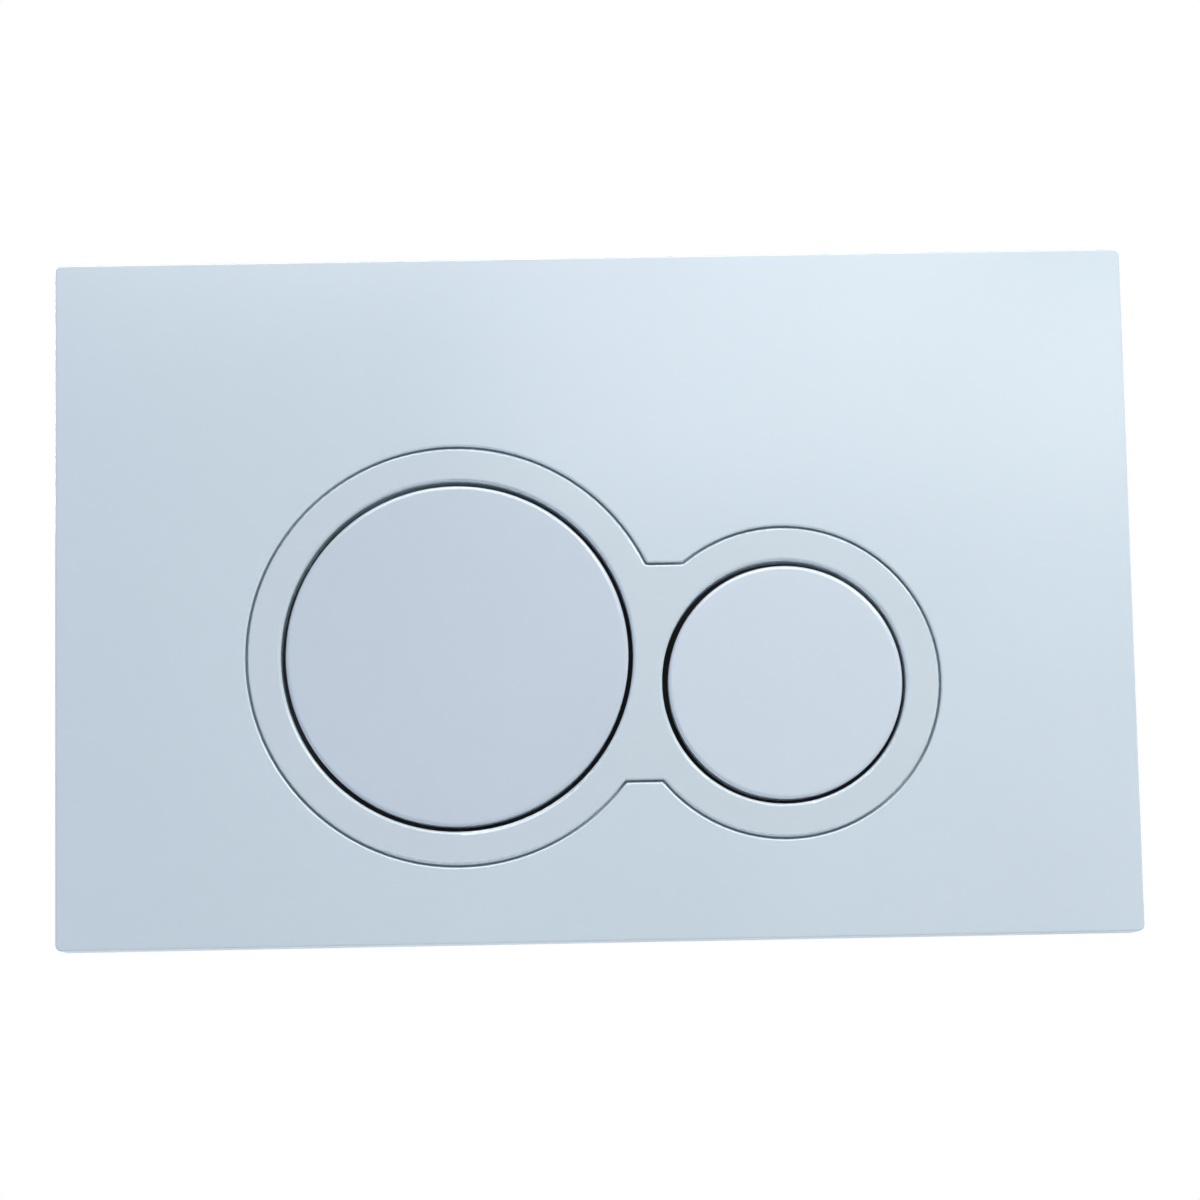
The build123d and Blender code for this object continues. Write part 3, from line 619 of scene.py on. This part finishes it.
between_ribs = (45, 75, 105, 135, 225, 255, 285, 315)     # degrees
mark_rings = {"full": 21.5, "half": 15.5}                 # radii of the rings round the two guides
small_mark, large_mark = 1.9, 3.0                         # radii of the marks
carrier_back = 3.5
carrier_spots = ring_of_marks(button_axes["full"], mark_rings["full"], between_ribs)
carrier_spots += ring_of_marks(button_axes["half"], mark_rings["half"], between_ribs[::2])
carrier = moulding("button_carrier", "carrier_moulding")
ejector_marks(carrier, carrier_back, carrier_spots, small_mark)
finish(carrier, "plate", "carrier", carrier_plastic, "button_carrier")


def in_four_quarters(pairs):
    """Places mirrored to the left and right, and up and down."""
    return [(way * x, up * z) for way in (-1, 1) for up in (-1, 1) for x, z in pairs]


frame_bar_height = 14.5
bar_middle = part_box("base_frame")[1].z / MM - frame_bar_height / 2
side_middle = bolt_places["right"].x / MM
frame_spots = in_four_quarters([(x, bar_middle) for x in (30.0, 84.0)])
frame_spots += in_four_quarters([(side_middle, z) for z in (24.0, 48.0)])
frame_back = 0.0
wall_frame = moulding("base_frame", "frame_moulding")
ejector_marks(wall_frame, frame_back, frame_spots, large_mark)
finish(wall_frame, "plate", "frame", frame_plastic, "base_frame")

face_wall = 2.5
rib_pitch = 25.0
top_cells = 50.0     # height of the middles of the plate's top row of cells
cell_spots = [(way * (n + 0.5) * rib_pitch, top_cells) for way in (-1, 1) for n in range(3)]
inside_face = FACE_DEPTH / MM + face_wall
plate = moulding("front_plate", "front_plate_moulding")
ejector_marks(plate, inside_face, cell_spots, large_mark)
finish(plate, "plate", "plate", plate_abs, "front_plate")

# %% [markdown]
# Round pieces are turned, or moulded in a round mould. On screen a lathe is a disc that is extruded along its
# axis and scaled to each new radius. A screw modifier could spin a drawn profile instead, but the steps of an
# extruded disc can be read off a drawing, one by one.

# %% Turned pieces
def turned(name, place, *profile, sides=48):
    """A round piece on an axis along Y: a disc, extruded and scaled by pairs of radius and depth in mm."""
    radius, depth = profile[0]
    bpy.ops.mesh.primitive_circle_add(
        vertices=sides, radius=mm(radius), fill_type="NGON",
        location=(place.x, mm(depth), place.z), rotation=(pi / 2, 0, 0),
    )
    piece = settle(name)
    bpy.ops.object.mode_set(mode="EDIT")
    for new_radius, new_depth in profile[1:]:
        bpy.ops.mesh.extrude_region_move(TRANSFORM_OT_translate={"value": (0, mm(new_depth - depth), 0)})
        share = new_radius / radius
        bpy.ops.transform.resize(value=(share, 1, share), center_override=(place.x, mm(new_depth), place.z))
        radius, depth = new_radius, new_depth
    bpy.ops.object.mode_set(mode="OBJECT")
    return tidy_mesh(piece)


print("turning helper is ready")

# %% [markdown]
# Threads are rolled on the steel bolts and moulded on the plastic rods. A thread is one short profile, crest,
# flank, root and flank, that climbs by its own length at each turn, so its turns close up to one skin. The
# screw modifier does just that. Two bisections with a fill make it solid, and it is then cut to the chamfered
# blank, as the real rolling starts from one. The blank is wider than the thread along its length, so that
# only its cones cut.

# %% Threads
def thread(name, place, radius, pitch, height, start, end, steps=32):
    """A V thread as a closed solid between two depths in mm. It starts early and is then cut to length."""
    turns_early = 1.37
    lead_in = turns_early * pitch
    flank = height * tan(radians(30))     # half of a 60 degree V
    crest = pitch / 8                     # as on a metric thread
    root = pitch - 2 * flank - crest
    bpy.ops.mesh.primitive_plane_add(size=mm(1))
    piece = settle(name)
    bpy.ops.object.mode_set(mode="EDIT")
    bpy.ops.mesh.merge(type="CENTER")
    bpy.ops.transform.translate(value=(mm(radius), mm(start - lead_in), 0))
    for outwards, onwards in ((0, crest), (-height, flank), (0, root), (height, flank)):
        bpy.ops.mesh.extrude_vertices_move(TRANSFORM_OT_translate={"value": (mm(outwards), mm(onwards), 0)})
    bpy.ops.object.mode_set(mode="OBJECT")
    turns = int((end - start + 2 * lead_in) / pitch) + 2
    apply_modifier(
        piece, "SCREW", axis="Y", screw_offset=mm(pitch), iterations=turns, steps=steps, render_steps=steps
    )
    tidy_mesh(piece)
    slice_off(piece, start, -1)
    slice_off(piece, end, 1)
    piece.location = place
    take(piece)
    return tidy_mesh(settle(name))


spare = 0.2     # of a blank round its thread, and of a neck into the thread
extra = 1.0     # of a thread past each end of its blank, and of a bore past its piece


def blank(name, place, radius, front, back, front_cone, back_cone):
    """What a thread is cut to: a body wider than the thread by a spare, with a cone at each end."""
    return turned(
        name, place, (radius - front_cone, front), (radius + spare, front + front_cone + spare),
        (radius + spare, back - back_cone - spare), (radius - back_cone, back),
    )


bolt_thread_start = 0.4
bolt_pitch = 1.0
bolt_front_cone = 0.8
bolt_back_cone = 0.95
neck_radius = 2.65
left = bolt_places["left"]
to_right = bolt_places["right"] - left
bolt_painted_root_shade = thread(
    "left_fixing_bolt_threaded", left, bolt_radius, bolt_pitch, bolt_thread_height,
    bolt_thread_start - extra, bolt_back + extra,
)
bolt_blank = blank(
    "bolt_blank", left, bolt_radius, bolt_thread_start, bolt_back, bolt_front_cone, bolt_back_cone
)
cut(bolt_painted_root_shade, bolt_blank, "INTERSECT")
neck = turned("bolt_neck", left, (neck_radius, bolt_front), (neck_radius, bolt_thread_start + spare))
cut(bolt_painted_root_shade, neck, "UNION")
right_bolt = copy_to(bolt_painted_root_shade, "right_fixing_bolt_threaded", to_right)
finish(bolt_painted_root_shade, "plate", "zinc_steel", bolt_zincs_painted_root_shade["left"], "left_fixing_bolt")
finish(right_bolt, "plate", "zinc_steel", bolt_zincs_painted_root_shade["right"], "right_fixing_bolt")

# %% [markdown]
# The push rods are moulded in acetal with a coarse thread, so that a few turns set their length, and end in a
# plain shank with a rounded tip that pushes the cistern's lever. The same blank, thread and union make them.

# %% Push rods
rod_start, rod_end, rod_radius = span("full_push_rod")
rod_thread_length = 44.0
rod_pitch = 2.0
rod_thread_height = 0.85
rod_front_cone = 0.5
rod_back_cone = 0.9
shank_radius = 2.75
shank_start = rod_start + rod_thread_length
tip_round = 2.0
axis = button_axes["full"]
to_half = button_axes["half"] - axis
rod = thread(
    "full_push_rod_threaded", axis, rod_radius, rod_pitch, rod_thread_height,
    rod_start - extra, shank_start + extra,
)
rod_blank = blank("rod_blank", axis, rod_radius, rod_start, shank_start, rod_front_cone, rod_back_cone)
cut(rod, rod_blank, "INTERSECT")
quarter = [radians(15 * n) for n in range(1, 7)]
tip_flat = shank_radius - tip_round
tip_start = rod_end - tip_round
tip = [(tip_flat + tip_round * cos(a), tip_start + tip_round * sin(a)) for a in quarter]
shank = turned("rod_shank", axis, (shank_radius, shank_start - extra), (shank_radius, tip_start), *tip)
cut(rod, shank, "UNION")
half_rod = copy_to(rod, "half_push_rod_threaded", to_half)
finish(rod, "full_button", "rods", rod_plastic, "full_push_rod")
finish(half_rod, "half_button", "rods", rod_plastic, "half_push_rod")

# %% [markdown]
# A lock nut is a six-sided bar, chamfered at both ends and bored. The six sides are a cylinder with six
# corners; the chamfer is what a round, double-coned blank leaves of it, which gives the curved bright edges
# of a real nut.

# %% Lock nuts
nut_front, nut_back, nut_half_width = span("full_lock_nut")
nut_corner = nut_half_width * 2 / sqrt(3)
bpy.ops.mesh.primitive_cylinder_add(
    vertices=6, radius=mm(nut_corner), depth=mm(nut_back - nut_front),
    location=(axis.x, mm((nut_front + nut_back) / 2), axis.z), rotation=(pi / 2, radians(30), 0),
)
nut = settle("full_lock_nut_hexagon")
nut_cone = 0.6 * (nut_corner - nut_half_width)
cut(nut, turned(
    "nut_blank", axis, (nut_half_width, nut_front), (nut_corner, nut_front + nut_cone),
    (nut_corner, nut_back - nut_cone), (nut_half_width, nut_back),
), "INTERSECT")
bore = rod_radius + 0.05
sink = 0.5      # of the bore's chamfers
past = 0.1      # of a cutter, past the face that it opens
cut(nut, turned(
    "nut_bore", axis, (bore + sink, nut_front - past), (bore, nut_front + sink),
    (bore, nut_back - sink), (bore + sink, nut_back + past),
))
round_edges(nut, 0.15)
half_nut = copy_to(nut, "half_lock_nut_hexagon", to_half)
finish(nut, "full_button", "nuts", knob_plastic, "full_lock_nut")
finish(half_nut, "half_button", "nuts", knob_plastic, "half_lock_nut")

# %% [markdown]
# The knobs are moulded on the bolts' ends, with fourteen finger grooves and a slot for a coin. The grooves
# are made by taking two of every six side lines of the turned body and drawing them towards the axis. The
# slot is one cut.

# %% Knobs
knob_front, knob_back, knob_radius = span("left_bolt_knob")
grips = 14
sides_per_grip = 6
groove_depth = 0.55
slot_width = 1.6
slot_depth = 0.8
front_round = 1.0
back_cone = 0.6
groove_from = knob_front + 0.2
groove_to = knob_back - 0.1
knob = turned(
    "left_bolt_knob_grip", left, (knob_radius - front_round, knob_front),
    (knob_radius - 0.3 * front_round, knob_front + 0.3 * front_round),
    (knob_radius, knob_front + front_round), (knob_radius, knob_back - back_cone),
    (knob_radius - back_cone, knob_back), sides=grips * sides_per_grip,
)
bpy.ops.object.mode_set(mode="EDIT")


def on_groove(middle):
    """A corner on one of the two side lines of each grip that form its groove."""
    turn = degrees(Vector((middle.x - left.x, middle.z - left.z)).angle_signed(Vector((1, 0)))) % 360
    line = round(turn / 360 * grips * sides_per_grip) % sides_per_grip
    return line in (0, 1) and groove_from < middle.y / MM < groove_to


moved = pick("VERT", on_groove)
share = 1 - groove_depth / knob_radius
bpy.ops.transform.resize(value=(share, 1, share), center_override=left)
bpy.ops.object.mode_set(mode="OBJECT")
slot_length = 2.2 * knob_radius
bpy.ops.mesh.primitive_cube_add(
    size=1, location=(left.x, mm(knob_front), left.z), scale=mm(slot_length, 2 * slot_depth, slot_width)
)
cut(knob, settle("coin_slot"))
knob_bore = neck_radius + 0.02
cut(knob, turned("knob_bore", left, (knob_bore, knob_front - extra), (knob_bore, knob_back + extra)))
round_edges(knob, 0.12)
right_knob = copy_to(knob, "right_bolt_knob_grip", to_right)
finish(knob, "plate", "nuts", knob_plastic, "left_bolt_knob")
finish(right_knob, "plate", "nuts", knob_plastic, "right_bolt_knob")
print(moved, "corners drawn in for the grooves")

# %% [markdown]
# Washers are stamped: the punch rounds the edge on one side and leaves the other sharp. Buffer rings are
# moulded in rubber, soft at every edge. Both are a turned body with a turned hole through it.

# %% Washers and buffer rings
washer_front, washer_back, washer_radius = span("left_bolt_washer")
washer_hole = neck_radius + 0.3
punched = 0.3                        # size of the round that the punch leaves outside
bulge_in, bulge_back = 0.1, 0.08     # where the middle of that round lies
drawn_in = 0.25                      # depth of the one that it leaves at the hole
washer = turned(
    "left_bolt_washer_stamped", left, (washer_radius - punched, washer_front),
    (washer_radius - bulge_in, washer_front + bulge_back), (washer_radius, washer_front + punched),
    (washer_radius, washer_back), sides=64,
)
cut(washer, turned(
    "washer_hole", left, (washer_hole + drawn_in + past, washer_front - past),
    (washer_hole, washer_front + drawn_in), (washer_hole, washer_back + past), sides=64,
))
right_washer = copy_to(washer, "right_bolt_washer_stamped", to_right)
finish(washer, "plate", "zinc_steel", zinc, "left_bolt_washer")
finish(right_washer, "plate", "zinc_steel", zinc, "right_bolt_washer")

buffer_width = 3.0
soft = 0.35       # size of the rounds on its edges
mid = soft * 0.3  # where the middle of a round lies
for side in ("full", "half"):
    front, back, outer = span(f"{side}_buffer_ring")
    inner = outer - buffer_width
    ring = turned(
        f"{side}_buffer_ring_rubber", button_axes[side], (outer - soft, front), (outer - mid, front + mid),
        (outer, front + soft), (outer, back - soft), (outer - soft, back), sides=96,
    )
    cut(ring, turned(
        "buffer_hole", button_axes[side], (inner + soft + past, front - past), (inner + mid, front + mid),
        (inner, front + soft), (inner, back - soft), (inner + soft + past, back + past), sides=96,
    ))
    finish(ring, "plate", "rubber", rubber, f"{side}_buffer_ring")

# %% [markdown]
# The carrier's screws cut their own thread in the plate's bosses. Each has a domed pan head with a cross
# recess, whose arms narrow towards the bottom. One screw is modelled where the first one sits, and copied to
# the others. Where they sit is read from the node: its mesh is split into loose parts, and the middle of each
# is kept.

# %% Carrier screws
take(frame["nodes"]["carrier_screws"])
bpy.ops.object.duplicate(linked=False)
bpy.ops.object.mode_set(mode="EDIT")
bpy.ops.mesh.select_all(action="SELECT")
bpy.ops.mesh.remove_doubles(threshold=MERGE_WITHIN)
bpy.ops.mesh.separate(type="LOOSE")
bpy.ops.object.mode_set(mode="OBJECT")
screw_places = []
for part in list(bpy.context.selected_objects):
    corners = [v.co for v in part.data.vertices]
    screw_places.append(Vector([
        (max(c[k] for c in corners) + min(c[k] for c in corners)) / 2 if k != 1 else 0.0 for k in range(3)
    ]))
    bpy.data.objects.remove(part, do_unlink=True)

screw_tip, head_top, _ = span("carrier_screws")
head_height = 2.0
head_radius = 3.0
head_seat = head_top - head_height
seat_cone = 0.15
dome_start = head_top - 1.0
dome_width = 0.9
dome_height = 0.8
dome_flat = 1.0
screw_radius = 1.5
screw_pitch = 1.1
screw_thread_height = 0.4
screw_point = 0.9
sunk_in_head = 0.6
first = screw_places[0]
dome = [radians(90 * n / 5) for n in range(1, 5)]
crown = [(head_radius - dome_width + dome_width * cos(a), dome_start + dome_height * sin(a)) for a in dome]
screw = turned(
    "carrier_screws_cross_head", first, (head_radius - seat_cone, head_seat),
    (head_radius, head_seat + seat_cone), (head_radius, dome_start), *crown, (dome_flat, head_top),
)
shaft = thread(
    "screw_shaft", first, screw_radius, screw_pitch, screw_thread_height,
    screw_tip - extra, head_seat + extra, steps=24,
)
screw_blank = blank("screw_blank", first, screw_radius, screw_tip, head_seat + sunk_in_head, screw_point, 0)
cut(shaft, screw_blank, "INTERSECT")
cut(screw, shaft, "UNION")
cross_length = 2.6
cross_width = 0.7
cross_depth = 1.1
cross_taper = 0.55     # width of a recess's bottom, as a share of its top
for wide, high in ((cross_length, cross_width), (cross_width, cross_length)):
    bpy.ops.mesh.primitive_cube_add(
        size=1, location=(first.x, mm(head_top - cross_depth / 2 + past), first.z),
        scale=mm(wide, cross_depth + 2 * past, high),
    )
    arm = settle("cross_arm")
    bpy.ops.object.mode_set(mode="EDIT")
    pick("FACE", lambda middle: middle.y < mm(head_top - cross_depth * 0.7))
    bpy.ops.transform.resize(value=(cross_taper, 1, cross_taper), center_override=first)
    bpy.ops.object.mode_set(mode="OBJECT")
    cut(screw, arm)
copies = [copy_to(screw, f"screw_{n}", other - first) for n, other in enumerate(screw_places[1:])]
bpy.ops.object.select_all(action="DESELECT")
for other in copies:
    other.select_set(True)
screw.select_set(True)
bpy.context.view_layer.objects.active = screw
bpy.ops.object.join()
finish(screw, "plate", "zinc_steel", zinc, "carrier_screws")
print(len(screw_places), "screws")

# %% [markdown]
# A return spring is wound from round wire. Its end turns lie against the next ones and are ground flat, so
# that it stands square, and the turns between are open. A curve that climbs by the wire's thickness in the
# end turns and evenly between them is bevelled to round wire, made a mesh, and ground by two bisections. As
# the button goes in, the plunger presses the front end towards the well, so the spring is squashed towards
# its back end.

# %% Return springs
wire = 1.1
open_turns = 4.5
points_per_turn = 40
ground_off = 0.7              # of the wire's thickness, at each end
end_pitch = wire * 1.03       # so that the end turns almost touch the next ones


def coil_spring(name, place, front, back, radius):
    """A compression spring with closed and ground ends, between two depths in mm."""
    low = front + wire * (0.5 - ground_off)
    high = back - wire * (0.5 - ground_off)
    pitch = (high - low - 2 * end_pitch) / open_turns
    turns = open_turns + 2
    curve = bpy.data.curves.new(name, "CURVE")
    curve.dimensions = "3D"
    curve.bevel_depth = mm(wire / 2)
    curve.bevel_resolution = 3
    curve.use_fill_caps = True
    line = curve.splines.new("POLY")
    count = int(turns * points_per_turn) + 1
    line.points.add(count - 1)
    for n in range(count):
        turn = n / points_per_turn
        closed = min(turn, 1) + max(turn - 1 - open_turns, 0)
        climb = closed * end_pitch + (turn - closed) * pitch
        angle = 2 * pi * turn
        line.points[n].co = (*mm(radius * cos(angle), low + climb, radius * sin(angle)), 1)
    piece = bpy.data.objects.new(name, curve)
    bpy.context.collection.objects.link(piece)
    piece.location = place
    take(piece)
    bpy.ops.object.convert(target="MESH")
    piece = tidy_mesh(settle(name))
    slice_off(piece, front, -1)
    slice_off(piece, back, 1)
    return tidy_mesh(piece)


for side in ("full", "half"):
    low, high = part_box(f"{side}_return_spring")
    front, back = low.y / MM, high.y / MM
    coil_radius = ((high.x - low.x) / MM - wire) / 2
    spring = coil_spring(f"{side}_return_spring_coil", button_axes[side], front, back, coil_radius)
    finish(spring, "plate", "spring_steel", wires[side], f"{side}_return_spring", crease=50)
    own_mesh(spring)
